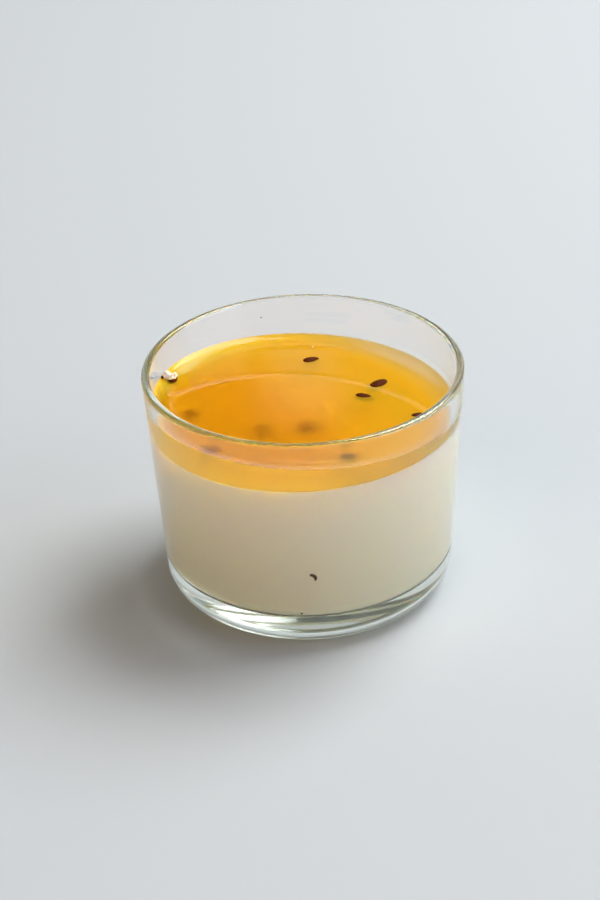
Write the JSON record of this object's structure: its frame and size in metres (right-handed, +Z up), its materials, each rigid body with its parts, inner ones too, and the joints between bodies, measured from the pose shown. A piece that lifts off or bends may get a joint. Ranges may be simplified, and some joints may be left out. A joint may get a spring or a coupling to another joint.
{
  "type": "passion fruit mousse in a glass",
  "caption": "Set cream mousse under a layer of clear golden fruit jelly with dark seeds, in a low thick-bottomed tumbler that widens towards its lip.",
  "frame": {"origin": "middle of the glass's flat underside", "axes": "+Z up along the glass's axis, -Y towards the side that is seen first, +X to its right"},
  "size_m": [0.083, 0.083, 0.0627],
  "materials": {
    "soda_lime_glass": "fire-polished, clear with a faint grey-green tint",
    "set_mousse": "matte, ivory cream set with gelatine",
    "fruit_jelly": "wet gloss, translucent golden orange",
    "fruit_seed": "hard, pitted, near-black brown with a low gloss",
    "juice_froth": "fine cream-white froth, satin"
  },
  "bodies": {
    "root": {"glass": "soda_lime_glass", "mousse": "set_mousse", "jelly": "fruit_jelly"}
  },
  "joints": []
}
